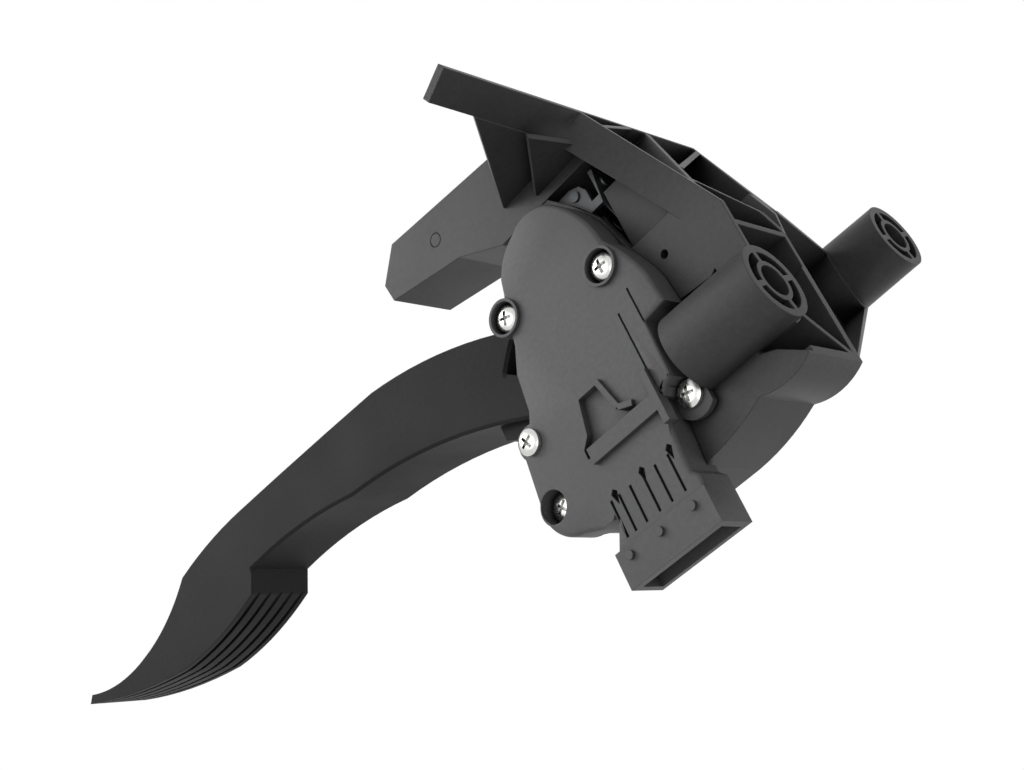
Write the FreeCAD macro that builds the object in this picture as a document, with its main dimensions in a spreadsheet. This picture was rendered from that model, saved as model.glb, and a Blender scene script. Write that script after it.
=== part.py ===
import FreeCAD, Part
import math
import os
import re
import Sketcher

# Accelerator pedal module of a car. The origin is the seat of the near mounting tube: +Z runs out of the
# tubes towards the bulkhead, +Y away from the driver, and the sensor cover lies on the -X side.

# Driving sizes, in millimetres and degrees.
sizes = {
    # Mounting tubes: a tapered outer wall, an inner ring round the bolt and four spokes between them.
    "foot_radius": 10.5,
    "foot_base_radius": 11.0,
    "foot_length": 28.5,
    "foot_wall": 2.0,
    "foot_ring_radius": 5.8,
    "foot_spoke": 1.6,
    "foot_pocket": 22.0,
    "bolt_bore_radius": 4.5,
    "near_bore_deep": 30.0,
    "far_bore_deep": 36.0,
    "far_foot_x": 85.8,
    "far_foot_y": 31.5,
    # Housing of the bracket.
    "wall": 2.3,
    "near_x": 1.5,
    "housing_wide": 23.5,
    "block_top": -2.4,
    "block_floor": -26.6,
    "housing_front": 67.5,
    "block_rear": -19.0,
    "block_front": 21.6,
    "rib": 1.5,
    "corner_round": 1.0,
    # Flange: flat over the block, then one slope forward and one towards the far tube.
    "flange_knee_y": 27.4,
    "flange_knee_x": 24.5,
    "slope_forward": 0.441,
    "slope_across": 0.27,
    "flange_depth": 10.2,
    "flange_front": 80.0,
    "wing_reach": 50.0,
    "wing_thick": 2.8,
    "gusset": 2.2,
    "beyond": 150.0,
    # Full-throttle leg.
    "leg_wide": 23.0,
    "leg_proud": 0.3,
    "mark_radius": 2.2,
    "mark_deep": 0.25,
    "mark_y": 84.0,
    "mark_z": -85.7,
    # Pivot.
    "pivot_y": 5.0,
    "pivot_z": -50.0,
    "shaft_radius": 5.0,
    "bush_wall": 2.4,
    "bush_flange": 4.5,
    "bush_flange_thick": 0.9,
    "running_gap": 0.06,
    "side_gap": 0.3,
    "clip_thick": 0.8,
    "clip_deep": 0.7,
    # Pedal arm.
    "arm_wide": 23.0,
    "hub_radius": 15.0,
    "shoulder_radius": 31.9,
    "shoulder_angle": 67.4,
    "notch_radius": 37.6,
    "notch_angle": 48.5,
    "lobe_end": 57.9,
    "lobe_thick": 7.0,
    "arm_skin": 2.6,
    "groove_wide": 1.5,
    "groove_pitch": 4.4,
    "groove_deep": 1.3,
    "groove_count": 5.0,
    "pedal_travel": 15.0,
    # Sensor cover.
    "cover_high": 8.5,
    "cover_face": 2.0,
    "ear_high": 2.5,
    "counterbore": 4.5,
    "head_sunk": 1.6,
    "deep_sunk": 5.2,
    "ring_moat": 3.0,
    "head_post": 3.75,
    "ear_radius": 6.4,
    "ear_top": 28.8,
    "groove_cut": 0.6,
    "pocket_deep": 2.2,
    "pocket_floor": 1.0,
    "bumper_wall": 1.2,
    "bumper_wide": 6.0,
    "cover_wall": 1.8,
    "gasket_thick": 0.6,
    "screw_radius": 1.75,
    "screw_head_radius": 3.6,
    "screw_head_high": 2.2,
    "screw_length": 14.0,
    "boss_wall": 1.5,
    "boss_spare": 6.0,
    "ring_high": 1.1,
    "ring_wall": 0.8,
    # Connector.
    "mouth_y": -42.2,
    "shroud_wall": 1.8,
    "shroud_thick": 11.5,
    "pin_wide": 1.0,
    "pin_pitch": 3.6,
    "pin_count": 6.0,
    "pin_tip": 6.0,
    "band_wide": 10.0,
    "band_high": 0.6,
    "pip_radius": 1.2,
    "pip_high": 0.9,
    "pip_in": 7.4,
    "slot_wide": 0.8,
    "slot_long": 10.5,
    "slot_start": -20.0,
    "slot_deep": 0.9,
    "arrow_side": 2.2,
    "pip_a_z": -65.1,
    "pip_b_z": -54.4,
    "pip_c_z": -43.1,
    "slot_a_z": -64.0,
    "slot_b_z": -61.0,
    "slot_c_z": -57.0,
    "slot_d_z": -52.3,
    "slot_e_z": -48.0,
    "slot_f_z": -43.4,
    "arrow_a_z": -62.1,
    "arrow_b_z": -52.1,
    "arrow_c_z": -42.3,
    # Return springs.
    "spring_y": 50.0,
    "spring_radius": 5.8,
    "spring_wire": 0.75,
    "inner_spring_radius": 3.4,
    "inner_spring_wire": 0.55,
    "spring_turns": 4.0,
    "wire_sides": 6.0,
    "cup_gap": 0.35,
    "cup_wall": 0.8,
    "cup_high": 3.0,
    "seat_rear": 37.0,
    "seat_front": 64.4,
    "seat_block_rear": 36.8,
    "seat_block_front": 56.0,
    "seat_inset": 0.8,
    "tab_rear": 54.0,
    "tab_low": -48.0,
    "rivet_radius": 1.1,
    "rivet_head": 1.9,
    "rivet_tail": 0.6,
    "rivet_in": 3.4,
    "rivet_high_y": 60.6,
    "seat_plate": 1.5,
    "seat_z": -31.5,
    "lobe_top": -55.5,
    "cup_floor": 1.4,
    # Sensor.
    "rotor_radius": 8.0,
    "rotor_thick": 2.4,
    "rotor_bore": 2.5,
    "magnet_thick": 1.0,
    "board_thick": 1.0,
    "board_long": 26.0,
    "board_high": 15.5,
}

# Corners of the flange seen from above, as pairs of X and Y, at the height of its front edge.
plan_corners = {
    "rim_straight": (1.5, 34.0),
    "rim_bow": (-0.6, 52.0),
    "rim_turn": (-4.0, 68.5),
    "rim_bend": (-5.2, 72.4),
    "rim_foot": (-7.5, 75.4),
    "rim_toe": (-11.0, 77.0),
    "rim_wing": (-16.0, 77.7),
    "flange_right": (54.2, 80.0),
    "flange_notch": (33.8, 24.6),
    "far_arm_notch": (34.0, 33.5),
    "far_arm_front": (80.0, 38.0),
    "far_arm_rear": (91.7, 22.2),
    "rib_start": (3.0, 37.5),
    "rib_fork": (12.7, 50.0),
    "rib_front": (30.5, 78.0),
    "short_rib": (-1.0, 68.0),
    "short_rib_end": (23.2, 78.5),
    "rib_side": (35.0, 43.0),
}

# Corners of the moulded outlines, as pairs of Y and Z.
corners = {
    "screw_a": (32.0, -35.8),
    "screw_b": (41.1, -69.2),
    "screw_c": (7.4, -78.7),
    "screw_d": (-11.0, -80.9),
    "screw_e": (-9.0, -33.2),
    "cover_a": (49.1, -35.4),
    "cover_b": (57.7, -41.2),
    "cover_c": (61.2, -48.0),
    "cover_d": (59.5, -56.2),
    "cover_e": (57.2, -60.7),
    "cover_f": (51.6, -65.8),
    "cover_g": (47.4, -67.0),
    "cover_h": (33.1, -70.9),
    "cover_i": (26.1, -74.3),
    "cover_j": (15.2, -75.8),
    "cover_k": (12.6, -77.2),
    "cover_l": (6.6, -83.1),
    "cover_m": (-7.2, -84.9),
    "cover_n": (-15.5, -84.6),
    "cover_o": (-21.9, -76.3),
    "cover_p": (-24.5, -70.0),
    "cover_q": (-24.5, -39.8),
    "cover_r": (-7.3, -38.2),
    "cover_s": (-7.3, -34.6),
    "cover_t": (-4.9, -32.1),
    "cover_u": (11.6, -32.1),
    "cover_v": (12.6, -24.7),
    "cover_w": (21.7, -25.4),
    "cover_x": (29.6, -28.0),
    "cover_y": (37.9, -32.4),
    "pocket_a": (7.5, -59.7),
    "pocket_b": (7.5, -51.9),
    "pocket_c": (-2.0, -49.4),
    "pocket_d": (-3.7, -45.1),
    "pocket_e": (-4.6, -64.8),
    "pocket_f": (-1.9, -62.0),
    "shroud_high": (-27.0, -39.8),
    "shroud_top": (-29.0, -38.0),
    "shroud_foot": (-33.0, -69.5),
    "shroud_low": (-25.0, -64.8),
    "arm_front_a": (42.9, -75.4),
    "arm_front_b": (55.4, -104.0),
    "arm_front_c": (62.2, -131.6),
    "arm_front_d": (65.0, -170.0),
    "arm_front_e": (67.1, -204.8),
    "arm_front_f": (67.2, -222.0),
    "arm_front_g": (64.8, -243.4),
    "arm_front_h": (56.5, -259.0),
    "arm_front_i": (52.4, -276.0),
    "arm_front_j": (52.2, -294.0),
    "arm_front_k": (57.1, -312.7),
    "arm_tip": (54.7, -315.2),
    "pad_low": (43.9, -285.0),
    "pad_mid": (37.2, -257.0),
    "pad_high": (36.9, -234.0),
    "pad_top": (40.3, -212.3),
    "pad_lip": (47.3, -208.4),
    "arm_rear_a": (46.4, -186.0),
    "arm_rear_b": (40.6, -155.0),
    "arm_rear_c": (34.9, -124.0),
    "arm_rear_d": (18.8, -83.2),
    "neck_rear_high": (8.0, -61.6),
    "neck_rear": (11.2, -74.2),
    "neck_rear_low": (13.5, -83.2),
    "neck_low": (20.0, -95.0),
    "neck_front_low": (34.5, -95.0),
    "neck_front": (34.8, -86.6),
    "neck_front_mid": (27.6, -78.0),
    "neck_root": (17.6, -65.5),
    "tab_front": (64.4, -40.5),
    "tab_crown": (63.2, -37.4),
    "tab_top": (60.6, -35.9),
    "tab_neck": (56.6, -35.9),
    "rivet_low": (61.4, -39.8),
    "lobe_root": (26.0, -62.5),
    "lobe_under": (45.5, -61.6),
    "lobe_chin": (56.3, -57.0),
    "hub_shoulder": (38.0, -55.5),
    "hub_crown": (16.0, -42.0),
    "shoe_high": (-9.3, -44.5),
    "shoe_low": (-9.3, -55.5),
    "house_rear_top": (-21.3, -10.0),
    "house_rear_step": (-19.8, -19.0),
    "house_rear_bow": (-23.1, -30.0),
    "house_rear": (-24.4, -41.0),
    "house_rear_low": (-24.5, -70.0),
    "house_foot_rear": (-21.6, -76.0),
    "house_foot": (-15.5, -84.0),
    "house_foot_mid": (-2.0, -83.8),
    "house_heel": (7.0, -82.3),
    "house_mouth_rear": (12.0, -77.0),
    "house_mouth_low": (22.7, -74.9),
    "house_mouth_front": (35.5, -70.2),
    "house_nose": (47.0, -64.5),
    "house_chin": (56.5, -61.3),
    "house_front_low": (60.3, -58.0),
    "window_right": (35.2, -16.2),
    "window_front": (65.2, -29.6),
    "window_low": (65.2, -46.0),
    "window_sill": (58.2, -40.3),
    "window_step": (49.1, -34.4),
    "window_end": (35.2, -30.6),
    "scoop_front": (19.4, -2.4),
    "scoop_front_low": (13.2, -14.6),
    "scoop_rear": (-18.4, -2.4),
    "scoop_rear_low": (-13.1, -9.2),
    "scoop_rear_end": (-11.3, -13.6),
    "leg_front_top": (90.1, -56.4),
    "leg_front_low": (95.2, -101.2),
    "leg_foot_front": (86.2, -110.0),
    "leg_foot_rear": (79.8, -109.0),
    "leg_rear_low": (73.2, -80.5),
    "leg_rear_top": (65.2, -65.4),
}

doc = FreeCAD.newDocument("AcceleratorPedal")
sheet = doc.addObject("Spreadsheet::Sheet", "Sizes")
cells = dict(sizes)
for name, (place_x, place_y) in plan_corners.items():
    cells[name + "_x"] = place_x
    cells[name + "_y"] = place_y
for name, (place_y, place_z) in corners.items():
    cells[name + "_y"] = place_y
    cells[name + "_z"] = place_z
for row, (alias, number) in enumerate(cells.items(), 1):
    sheet.set(f"A{row}", str(number))
    sheet.setAlias(f"A{row}", alias)
doc.recompute()


def bound(size):
    """Writes a size so that any object can read it from the sheet."""
    return re.sub(r"[a-z][a-z0-9_]+", lambda word: ("Sizes." if word[0] in cells else "") + word[0], size)


def value(size):
    """The number that a size stands for."""
    return float(sheet.evalExpression(size))


def corner(name, along=0, up=0):
    """A named corner, moved by sizes where it has to clear or meet something."""
    return (f"{name}_y + {along}", f"{name}_z + {up}")


def new_body(name):
    return doc.addObject("PartDesign::Body", name)


def outline(body, name, plane, lift, points):
    """A closed outline. A point with a third entry is the middle of an arc between its neighbours."""
    sketch = body.newObject("Sketcher::SketchObject", name)
    origin_plane = next(item for item in body.Origin.OriginFeatures if item.Role == plane)
    sketch.AttachmentSupport = (origin_plane, [""])
    sketch.MapMode = "FlatFace"
    sketch.setExpression("AttachmentOffset.Base.z", bound(lift))
    spots = [FreeCAD.Vector(value(point[0]), value(point[1]), 0) for point in points]
    ends = [index for index, point in enumerate(points) if len(point) == 2]
    starts = []
    middles = []
    for place, index in enumerate(ends):
        follower = ends[(place + 1) % len(ends)]
        middle = (index + 1) % len(points)
        if middle == follower:
            sketch.addGeometry(Part.LineSegment(spots[index], spots[follower]), False)
        else:
            sketch.addGeometry(Part.Arc(spots[index], spots[middle], spots[follower]), False)
            middles.append((place, middle))
        begins_here = (sketch.getPoint(place, 1) - spots[index]).Length < 1e-6
        starts.append(1 if begins_here else 2)
    for place in range(len(ends)):
        following = (place + 1) % len(ends)
        sketch.addConstraint(Sketcher.Constraint(
            "Coincident", place, 3 - starts[place], following, starts[following]))
    for place, index in enumerate(ends):
        pin(sketch, place, starts[place], spots[index], points[index])
    for place, middle in middles:
        marker = sketch.addGeometry(Part.Point(spots[middle]), True)
        pin(sketch, marker, 1, spots[middle], points[middle])
        sketch.addConstraint(Sketcher.Constraint("PointOnObject", marker, 1, place))
    return sketch


def pin(sketch, geometry, end, spot, point):
    """Ties a point of a sketch to its two sizes."""
    for kind, number, size in (("DistanceX", spot.x, point[0]), ("DistanceY", spot.y, point[1])):
        tie = sketch.addConstraint(Sketcher.Constraint(kind, -1, 1, geometry, end, number))
        sketch.setExpression(f"Constraints[{tie}]", bound(size))


def pad(body, sketch, length):
    feature = body.newObject("PartDesign::Pad", sketch.Name + "_pad")
    feature.Profile = sketch
    feature.setExpression("Length", bound(length))
    return feature


def slab(name, plane, lift, length, points):
    """A body padded from one outline."""
    body = new_body(name)
    pad(body, outline(body, name + "_outline", plane, lift, points), length)
    return body


def row_of(body, feature, sketch, count, pitch):
    """Repeats a feature along the normal of its sketch."""
    pattern = body.newObject("PartDesign::LinearPattern", feature.Name + "_row")
    pattern.Originals = [feature]
    pattern.Direction = (sketch, ["N_Axis"])
    pattern.Mode = "Spacing"
    pattern.setExpression("Offset", bound(pitch))
    pattern.setExpression("Occurrences", bound(count))
    body.Tip = pattern
    return pattern


TURN = {
    "x": FreeCAD.Rotation(FreeCAD.Vector(0, 1, 0), 90),
    "y": FreeCAD.Rotation(FreeCAD.Vector(1, 0, 0), -90),
    "z": FreeCAD.Rotation(),
}


def put(item, place, along="z"):
    """Sets an object's place, with its own axis along X, Y or Z."""
    item.Placement = FreeCAD.Placement(FreeCAD.Vector(), TURN[along])
    for axis, size in zip("xyz", place):
        item.setExpression(f"Placement.Base.{axis}", bound(size))
    return item


def cylinder(name, radius, length, place, along):
    item = doc.addObject("Part::Cylinder", name)
    item.setExpression("Radius", bound(radius))
    item.setExpression("Height", bound(length))
    return put(item, place, along)


def cone(name, radius, end_radius, length, place, along):
    item = doc.addObject("Part::Cone", name)
    item.setExpression("Radius1", bound(radius))
    item.setExpression("Radius2", bound(end_radius))
    item.setExpression("Height", bound(length))
    return put(item, place, along)


def box(name, place, extent):
    item = doc.addObject("Part::Box", name)
    for side, size in zip(("Length", "Width", "Height"), extent):
        item.setExpression(side, bound(size))
    return put(item, place)


def cut(name, base, tool):
    item = doc.addObject("Part::Cut", name)
    item.Base = base
    item.Tool = tool
    return item


def fuse(name, shapes):
    item = doc.addObject("Part::MultiFuse", name)
    item.Shapes = shapes
    return item


def common(name, shapes):
    item = doc.addObject("Part::MultiCommon", name)
    item.Shapes = shapes
    return item


def strip(name, begin, end, thick, low, high):
    """An upright rib between two places of the plan."""
    run = f"sqrt(({end[0]} - ({begin[0]})) ^ 2 + ({end[1]} - ({begin[1]})) ^ 2)"
    side_x = f"(({end[1]}) - ({begin[1]})) / {run} * {thick} / 2"
    side_y = f"(({begin[0]}) - ({end[0]})) / {run} * {thick} / 2"
    return slab(name, "XY_Plane", low, f"({high}) - ({low})", [
        (f"{begin[0]} + {side_x}", f"{begin[1]} + {side_y}"),
        (f"{end[0]} + {side_x}", f"{end[1]} + {side_y}"),
        (f"{end[0]} - {side_x}", f"{end[1]} - {side_y}"),
        (f"{begin[0]} - {side_x}", f"{begin[1]} - {side_y}"),
    ])


def layer(name, drop):
    """Everything under the top of the flange, lowered by a drop."""
    top = f"block_top - ({drop})"
    forward = slab(name + "_forward", "YZ_Plane", "-beyond", "2 * beyond", [
        ("-beyond", top),
        ("flange_knee_y", top),
        ("beyond", f"{top} - slope_forward * (beyond - flange_knee_y)"),
        ("beyond", "-beyond"),
        ("-beyond", "-beyond"),
    ])
    across = slab(name + "_across", "XZ_Plane", "-beyond", "2 * beyond", [
        ("-beyond", top),
        ("flange_knee_x", top),
        ("beyond", f"{top} - slope_across * (beyond - flange_knee_x)"),
        ("beyond", "-beyond"),
        ("-beyond", "-beyond"),
    ])
    return common(name, [forward, across])


FRONT_EDGE = "block_top - slope_forward * (flange_front - flange_knee_y)"


def strip_x(name, begin, end, thick):
    """A low rib on the face of the cover between two places of its outline."""
    run = f"sqrt(({end[0]} - ({begin[0]})) ^ 2 + ({end[1]} - ({begin[1]})) ^ 2)"
    side_y = f"(({end[1]}) - ({begin[1]})) / {run} * {thick} / 2"
    side_z = f"(({begin[0]}) - ({end[0]})) / {run} * {thick} / 2"
    return slab(name, "YZ_Plane", f"{FACE} - 1.2", "1.2 + pocket_deep", [
        (f"{begin[0]} + {side_y}", f"{begin[1]} + {side_z}"),
        (f"{end[0]} + {side_y}", f"{end[1]} + {side_z}"),
        (f"{end[0]} - {side_y}", f"{end[1]} - {side_z}"),
        (f"{begin[0]} - {side_y}", f"{begin[1]} - {side_z}"),
    ])


def leaning_slab(name, points):
    """The front of the flange: its walls stand square to the forward slope, so they lean back with depth."""
    leaning = [(point[0], f"{point[1]} - flange_depth * 2 * slope_forward", *point[2:]) for point in points]
    body = slab(name, "XY_Plane", f"{FRONT_EDGE} - flange_depth * 2", "flange_depth * 6", leaning)
    feature = body.Tip
    feature.UseCustomVector = True
    feature.setExpression("Direction.y", bound("slope_forward"))
    feature.Direction = FreeCAD.Vector(0, value("slope_forward"), 1)
    return body


FAR_X = "near_x + housing_wide"
NEAR_IN = "near_x + wall"
CAVITY_WIDE = "housing_wide - 2 * wall"

# Flange: a leaning front plate and a level arm that carries the far tube.


def flange_plan(name, inset, rim):
    return leaning_slab(name, [
        (f"near_x + {rim}", "0"),
        (f"near_x + {rim}", f"flange_front - {inset}"),
        (f"flange_right_x - 1.07 * {inset}", f"flange_front - {inset}"),
        (f"flange_notch_x - 1.07 * {inset}", f"flange_notch_y + {inset}"),
        (f"flange_notch_x - 1.07 * {inset}", "0"),
    ])


def far_arm_plan(name, inset):
    return slab(name, "XY_Plane", "-beyond / 2", "beyond / 2 + 10", [
        (f"{FAR_X} - wall + {inset}", f"block_rear + 1.3 * {inset}"),
        ("far_arm_rear_x", f"far_arm_rear_y + 1.2 * {inset}"),
        ("far_arm_front_x", f"far_arm_front_y - {inset}"),
        (f"far_arm_notch_x - 1.2 * {inset}", f"far_arm_notch_y - {inset}"),
        (f"{FAR_X} - wall + {inset}", f"far_arm_notch_y - {inset}"),
    ])


def slope_sketch(body, name, depth, points):
    """An outline parallel to the forward slope, at a depth below the top of the flange."""
    sketch = outline(body, name, "XY_Plane", f"block_top - {depth} / (1 + slope_forward ^ 2)", [
        (point[0], f"({point[1]} - flange_knee_y) * sqrt(1 + slope_forward ^ 2)", *point[2:]) for point in points])
    sketch.AttachmentOffset = FreeCAD.Placement(sketch.AttachmentOffset.Base, FreeCAD.Rotation(
        FreeCAD.Vector(1, 0, 0), -math.degrees(math.atan(value("slope_forward")))))
    sketch.setExpression("AttachmentOffset.Base.y", bound(
        f"flange_knee_y - {depth} * slope_forward / (1 + slope_forward ^ 2)"))
    sketch.setExpression("AttachmentOffset.Rotation.Angle", bound("-atan(slope_forward)"))
    return sketch


# The rim is straight along its top and bows out below, so that its side looks up towards the wing.
flare = new_body("flare")
flare_low = slope_sketch(flare, "flare_low", "flange_depth", [
    ("near_x + rib / 2", "rim_straight_y"),
    ("near_x", "rim_straight_y"),
    ("rim_bow_x", "rim_bow_y", "bend"),
    ("rim_turn_x", "rim_turn_y"),
    ("rim_bend_x", "rim_bend_y", "bend"),
    ("rim_foot_x", "rim_foot_y"),
    ("rim_toe_x", "rim_toe_y", "bend"),
    ("rim_wing_x", "rim_wing_y"),
    ("rim_wing_x", "flange_front"),
    ("near_x + rib / 2", "flange_front"),
])
flare_top = slope_sketch(flare, "flare_top", "0", [
    ("near_x + rib / 2", "rim_straight_y"),
    ("near_x", "rim_straight_y"),
    ("near_x", "rim_turn_y"),
    ("near_x", "flange_front - wing_thick + 0.5"),
    ("rim_wing_x", "rim_wing_y"),
    ("rim_wing_x", "flange_front"),
    ("near_x + rib / 2", "flange_front"),
])
flare_loft = flare.newObject("PartDesign::AdditiveLoft", "flare_loft")
flare_loft.Profile = flare_low
flare_loft.Sections = [flare_top]
flare_loft.Ruled = True
under_top = layer("under_top", "0")
under_plate = layer("under_plate", "flange_depth")
above_floor = layer("above_floor", "flange_depth - wall")
wing = leaning_slab("wing", [
    ("near_x - wing_reach", "flange_front - wing_thick"),
    ("near_x + wall", "flange_front - wing_thick"),
    ("near_x + wall", "flange_front"),
    ("near_x - wing_reach", "flange_front"),
])
plate = fuse("plate", [flange_plan("front_plate", "0", "0"), far_arm_plan("far_arm", "0"), wing, flare])
flange = cut("flange", common("flange_slab", [plate, under_top]), under_plate)
RIB_LOW = "-beyond / 2"
ribs = [
    strip("rib_block", ("near_x", "block_front - rib / 2"), (FAR_X, "block_front - rib / 2"), "rib",
          RIB_LOW, "10"),
    strip("rib_ridge", (f"{FAR_X} - rib / 2", "block_rear"), (f"{FAR_X} - rib / 2", "block_front"), "rib",
          RIB_LOW, "10"),
    strip("rib_long", ("rib_start_x", "rib_start_y"), ("rib_front_x", "rib_front_y"), "rib", RIB_LOW, "10"),
    strip("rib_to_ridge", ("rib_start_x + 2", "rib_start_y + 3"), (FAR_X, "block_front"), "rib", RIB_LOW, "10"),
    strip("rib_fork", ("rib_fork_x", "rib_fork_y"), ("flange_right_x", "flange_front - wall"), "rib",
          RIB_LOW, "10"),
    strip("rib_side", (FAR_X, "block_front"), ("rib_side_x", "rib_side_y"), "rib", RIB_LOW, "10"),
    strip("rib_short", ("short_rib_x", "short_rib_y"), ("short_rib_end_x", "short_rib_end_y"), "rib",
          RIB_LOW, "10"),
]
far_tube_keep = cylinder("far_tube_keep", "foot_base_radius", "beyond", ("far_foot_x", "far_foot_y", RIB_LOW), "z")
flange_cells = cut("flange_cells", fuse("flange_hollow", [
    flange_plan("front_hollow", "rib", "rib"), far_arm_plan("far_hollow", "rib")]), above_floor)
flange_cells = cut("flange_cell_set", flange_cells, fuse("flange_ribs", ribs + [far_tube_keep]))

# Housing: a hollow box with the block of deep cells over it, open below for the arm.
housing = slab("housing", "YZ_Plane", "near_x", "housing_wide", [
    ("block_rear", "block_top"),
    ("block_front", "block_top"),
    ("block_front", "block_top - flange_depth / 2"),
    ("flange_knee_y", "block_top - flange_depth / 2"),
    ("housing_front", "block_top - flange_depth / 2 - slope_forward * (housing_front - flange_knee_y)"),
    ("housing_front", "leg_rear_top_z"),
    corner("house_front_low"),
    corner("house_chin"),
    corner("house_nose"),
    corner("house_mouth_front"),
    corner("house_mouth_low"),
    corner("house_mouth_rear"),
    corner("house_heel"),
    corner("house_foot_mid"),
    corner("house_foot"),
    (*corner("house_foot_rear"), "bend"),
    corner("house_rear_low"),
    corner("house_rear"),
    (*corner("house_rear_bow"), "bend"),
    corner("house_rear_step"),
    (*corner("house_rear_top"), "bend"),
])
CEILING = "block_floor - wall"
PLATE_LOW = "block_top - flange_depth"
cavity = slab("cavity", "YZ_Plane", NEAR_IN, CAVITY_WIDE, [
    corner("house_rear_step", "wall", "-wall - 7.6"),
    ("block_front + 0.4", CEILING),
    ("block_front + 0.4", PLATE_LOW),
    ("flange_knee_y", PLATE_LOW),
    ("housing_front - wall", f"{PLATE_LOW} - slope_forward * (housing_front - wall - flange_knee_y)"),
    corner("window_low", "0", "-14.5"),
    corner("house_front_low", "0", "wall + 0.6"),
    corner("house_chin", "-0.5", "wall + 0.6"),
    corner("house_nose", "1", "wall"),
    corner("house_nose", "0", "-30"),
    corner("house_mouth_rear", "1.4", "-30"),
    corner("house_mouth_rear", "1.4", "-1.5"),
    corner("house_heel", "-0.5", "wall"),
    corner("house_foot_mid", "0", "wall"),
    corner("house_foot", "1.2", "wall"),
    corner("house_foot_rear", "wall", "1"),
    corner("house_rear_low", "wall", "1"),
    corner("house_rear", "wall", "0"),
])
near_window = slab("near_window", "YZ_Plane", "near_x - 10", "10 + wall", [
    corner("window_right"),
    corner("window_front"),
    corner("window_low"),
    corner("window_sill"),
    corner("window_step"),
    corner("window_end"),
])
scoops = fuse("scoops", [
    slab("scoop_front", "YZ_Plane", "near_x - 10", "10 + wall", [
        corner("scoop_front", "0.6", "5"),
        corner("scoop_front"),
        corner("scoop_front_low"),
        ("scoop_front_low_y + 1.2", "block_floor"),
        ("0", "block_floor"),
        ("0", "scoop_front_z + 5"),
    ]),
    slab("scoop_rear", "YZ_Plane", "near_x - 10", "10 + wall", [
        corner("scoop_rear", "0", "5"),
        corner("scoop_rear"),
        corner("scoop_rear_low"),
        corner("scoop_rear_end"),
        ("0", "scoop_rear_end_z"),
        ("0", "scoop_rear_z + 5"),
    ]),
])
block_cells = cut("block_cells", box(
    "block_hollow", (NEAR_IN, "block_rear + wall", "block_floor"),
    (CAVITY_WIDE, "block_front - block_rear - wall - rib", "-block_floor + 10")), fuse("block_ribs", [
        cylinder("near_tube_keep", "foot_base_radius - 0.1", "beyond", ("0", "0", RIB_LOW), "z"),
        strip("rib_ahead", ("near_x + 2", "0"), ("near_x + 2", "block_front"), "rib", RIB_LOW, "10"),
        strip("rib_astern", ("near_x + 2", "0"), ("near_x + 1", "block_rear"), "rib", RIB_LOW, "10"),
        strip("rib_to_far", ("0", "0"), (FAR_X, "block_front"), "rib", RIB_LOW, "10"),
        strip("rib_to_rear", ("0", "0"), (FAR_X, "block_rear"), "rib", RIB_LOW, "10"),
    ]))

# Leg that stops the arm at full throttle: hollow from the far side, with a round mark of the mould.
leg = slab("leg", "YZ_Plane", "near_x - leg_proud", "leg_wide", [
    ("housing_front - wall", "window_front_z"),
    ("flange_front - 5", f"{FRONT_EDGE} - flange_depth + 2"),
    corner("leg_front_top"),
    corner("leg_front_low"),
    corner("leg_foot_front"),
    corner("leg_foot_rear"),
    corner("leg_rear_low"),
    corner("leg_rear_top"),
])
leg_hollow = slab("leg_hollow", "YZ_Plane", "near_x - leg_proud + wall", "leg_wide", [
    ("housing_front + side_gap", "leg_rear_top_z + wall"),
    ("housing_front + side_gap", f"{FRONT_EDGE} - flange_depth - wall"),
    ("flange_front - 2 * wall", f"{FRONT_EDGE} - flange_depth - wall"),
    corner("leg_front_top", "-wall", "0"),
    corner("leg_front_low", "-wall", "rib"),
    corner("leg_foot_front", "-rib", "wall"),
    corner("leg_foot_rear", "wall", "wall"),
    corner("leg_rear_low", "wall", "0"),
])
leg_mark = cut("leg_mark", cylinder(
    "mark_outside", "mark_radius", "2 * mark_deep", ("near_x - leg_proud - mark_deep", "mark_y", "mark_z"), "x"),
    cylinder("mark_inside", "mark_radius - mark_deep", "2 * mark_deep",
             ("near_x - leg_proud - mark_deep", "mark_y", "mark_z"), "x"))
gussets = [
    slab("gusset_front", "XZ_Plane", "-flange_front + 4.4", "gusset", [
        ("near_x - wing_reach + 15.5", f"{FRONT_EDGE} - 7.5"),
        ("near_x + 1", f"{FRONT_EDGE} - 7.5"),
        ("near_x + 1", "-59.2"),
        ("near_x - 1", "-59.2"),
    ]),
    slab("gusset_rear", "XZ_Plane", "-flange_front + 10", "gusset - 0.4", [
        ("near_x - wing_reach + 30", f"{FRONT_EDGE} - 5"),
        ("near_x + 1", f"{FRONT_EDGE} - 2"),
        ("near_x + 1", "-48"),
        ("near_x - 1", "-48"),
    ]),
]


def tube(name, place_x, place_y):
    """A mounting tube, standing on its seat at the height of zero."""
    return cone(name, "foot_base_radius", "foot_radius", "foot_length", (place_x, place_y, "-foot_length"), "z")


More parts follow.
